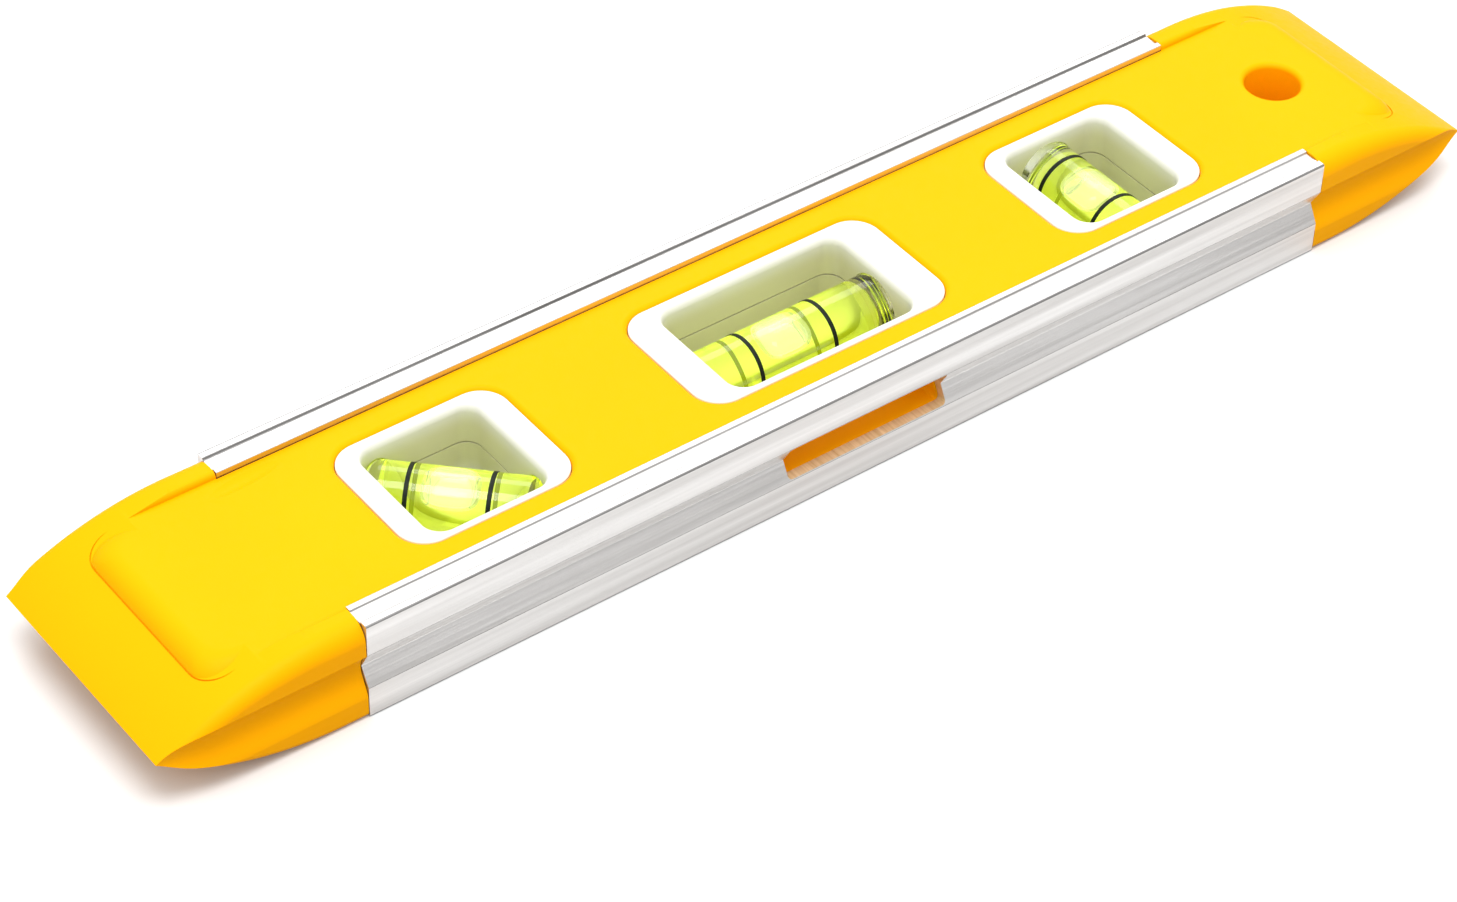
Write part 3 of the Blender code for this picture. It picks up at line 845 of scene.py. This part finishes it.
# The spirit's emission is a painted glow: it shines yellow-green though no lamp is inside it.
spirit, spirit_tree, _ = new_material(
    "yellow_green_spirit_painted_glow",
    Base_Color=(0.97, 1.0, 0.9, 1),
    IOR=1.02,
    Emission_Color=(0.8, 0.97, 0.02, 1),
    Emission_Strength=0.21,
    **clear,
)
add_absorption(spirit_tree, color=(0.92, 0.985, 0.0), density=230)

plug_resin, plug_tree, _ = new_material("plug_resin", Base_Color=(0.9, 0.88, 0.78, 1), IOR=1.04, **clear)
add_absorption(plug_tree, color=(0.7, 0.6, 0.4), density=90)

bubble_air = bpy.data.materials.new("bubble_air")
bubble_air.use_nodes = True
air_tree = bubble_air.node_tree
air_tree.nodes.remove(air_tree.nodes["Principled BSDF"])
air_glass = node(air_tree, "ShaderNodeBsdfGlass", IOR=0.7, Roughness=0.0)
# The bubble's emission is a painted glow that makes the air shine whitish.
air_glow = node(air_tree, "ShaderNodeEmission", Color=(0.86, 0.86, 1.0, 1), Strength=0.2)
air_both = air_tree.nodes.new("ShaderNodeAddShader")
air_tree.links.new(air_glass.outputs["BSDF"], air_both.inputs[0])
air_tree.links.new(air_glow.outputs["Emission"], air_both.inputs[1])
air_tree.links.new(air_both.outputs["Shader"], air_tree.nodes["Material Output"].inputs["Surface"])

ring_paint, paint_tree, paint_shader = new_material("ring_paint", Roughness=0.5, Specular_IOR_Level=0.2)
paint_tone = mottle(paint_tree, 1200, (0.002, 0.006, 0.002), (0.008, 0.014, 0.005))
paint_tree.links.new(paint_tone, paint_shader.inputs["Base Color"])

rings_tree, rings_in, rings_out = new_tree(
    "painted_rings",
    ("Radius", "NodeSocketFloat", 0.005),
    ("Spacing", "NodeSocketFloat", 0.01),
    ("Width", "NodeSocketFloat", 0.0006),
    ("Thickness", "NodeSocketFloat", 0.0001),
    ("Paint", "NodeSocketMaterial", None),
)
rings_nodes = rings_tree.nodes
rings_link = rings_tree.links.new
hoop = rings_nodes.new("GeometryNodeCurvePrimitiveCircle")
hoop.inputs["Resolution"].default_value = 96
band = rings_nodes.new("GeometryNodeCurvePrimitiveQuadrilateral")
roll_on = rings_nodes.new("GeometryNodeCurveToMesh")
stops = rings_nodes.new("GeometryNodeMeshLine")
stops.inputs["Count"].default_value = 2
first_stop = rings_nodes.new("ShaderNodeCombineXYZ")
next_stop = rings_nodes.new("ShaderNodeCombineXYZ")
back_off = math_node(rings_tree, "MULTIPLY", -0.5)
place_rings = rings_nodes.new("GeometryNodeInstanceOnPoints")
real_rings = rings_nodes.new("GeometryNodeRealizeInstances")
paint_rings = rings_nodes.new("GeometryNodeSetMaterial")
rings_link(rings_in.outputs["Radius"], hoop.inputs["Radius"])
rings_link(rings_in.outputs["Width"], band.inputs["Height"])
rings_link(rings_in.outputs["Thickness"], band.inputs["Width"])
rings_link(hoop.outputs["Curve"], roll_on.inputs["Curve"])
rings_link(band.outputs["Curve"], roll_on.inputs["Profile Curve"])
rings_link(rings_in.outputs["Spacing"], back_off.inputs[0])
rings_link(back_off.outputs[0], first_stop.inputs["Z"])
rings_link(rings_in.outputs["Spacing"], next_stop.inputs["Z"])
rings_link(first_stop.outputs[0], stops.inputs["Start Location"])
rings_link(next_stop.outputs[0], stops.inputs["Offset"])
rings_link(stops.outputs["Mesh"], place_rings.inputs["Points"])
rings_link(roll_on.outputs["Mesh"], place_rings.inputs["Instance"])
rings_link(place_rings.outputs["Instances"], real_rings.inputs["Geometry"])
rings_link(real_rings.outputs["Geometry"], paint_rings.inputs["Geometry"])
rings_link(rings_in.outputs["Paint"], paint_rings.inputs["Material"])
rings_link(paint_rings.outputs["Geometry"], rings_out.inputs["Geometry"])

vial_wall = 1.25 * MM
bore_radius = vial_radius - vial_wall
spirit_round = 0.5 * MM
ring_width = 0.65 * MM
ring_thickness = 0.12 * MM
bubble_half = Vector((2.9, 1.7, 4.1)) * MM
bubble_rise = 1.8 * MM
bubble_blunt = 0.7
bubble_clear = 0.12 * MM
plug_slack = 0.15 * MM
plug_gap = 0.1 * MM
plug_sunk = 0.5 * MM
plug_round = 0.2 * MM
plug_lengths = {"plumb_45": 2.2 * MM, "level": 3.2 * MM, "plumb_90": 3.3 * MM}


def middle_of(node_name):
    """The middle of a node's box."""
    low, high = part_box(node_name)
    return (low + high) / 2


for name, sizes in frame_sizes.items():
    place = vial_frame(name)
    along = place.to_3x3().col[2]
    centre = place.translation
    left_mark = (middle_of(name + "_mark_left") - centre).dot(along)
    right_mark = (middle_of(name + "_mark_right") - centre).dot(along)
    half = sizes["half"]
    bore_end = half - plug_lengths[name]

    rod = turned(name + "_rod", round_ended(vial_radius, -half, half, sizes["end_round"]), place)
    fill = turned(name + "_spirit", round_ended(bore_radius, -bore_end, bore_end, spirit_round), place)
    plug_radius = bore_radius - plug_slack
    plug_profile = round_ended(plug_radius, bore_end + plug_gap, half - plug_sunk, plug_round)
    plug = turned(name + "_stopper", plug_profile, place)
    ring_sizes = {
        "Radius": vial_radius,
        "Spacing": abs(right_mark - left_mark),
        "Width": ring_width,
        "Thickness": ring_thickness,
        "Paint": ring_paint,
    }
    blank = bpy.data.meshes.new("ring_guide")
    shift = Matrix.Translation((0, 0, (left_mark + right_mark) / 2))
    rings = grow(name + "_rings", rings_tree, blank, ring_sizes, place @ shift)

    bubble_work = bmesh.new()
    bmesh.ops.create_uvsphere(bubble_work, u_segments=64, v_segments=40, radius=1.0)
    for vertex in bubble_work.verts:
        across = max(Vector((vertex.co.x, vertex.co.y)).length, 0.001)
        fuller = across ** (bubble_blunt - 1)
        blunt_z = math.copysign(abs(vertex.co.z) ** bubble_blunt, vertex.co.z)
        blunt = (vertex.co.x * fuller, vertex.co.y * fuller, blunt_z)
        vertex.co = Vector(blunt[k] * bubble_half[k] for k in range(3)) + Vector((0, bubble_rise, 0))
        from_axis = Vector((vertex.co.x, vertex.co.y)).length
        if from_axis > bore_radius - bubble_clear:
            squeeze = (bore_radius - bubble_clear) / from_axis
            vertex.co.x *= squeeze
            vertex.co.y *= squeeze
    bubble_shift = (middle_of(name + "_bubble") - centre).dot(along)
    bubble = to_object(name + "_air", bubble_work, place @ Matrix.Translation((0, 0, bubble_shift)))

    for piece, material, body_name, slot, nodes in (
        (rod, acrylic, "level", "clear_acrylic", ("_tube",)),
        (fill, spirit, "level", "green_liquid", ("_liquid",)),
        (plug, plug_resin, "level", "clear_acrylic", ("_plug",)),
        (rings, ring_paint, "level", "black_paint", ("_mark_left", "_mark_right")),
        (bubble, bubble_air, "bubble_" + name.split("_")[-1], "air", ("_bubble",)),
    ):
        shade(piece, 40)
        piece.data.materials.clear()
        piece.data.materials.append(material)
        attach(piece, body_name)
        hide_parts(*(name + suffix for suffix in nodes))
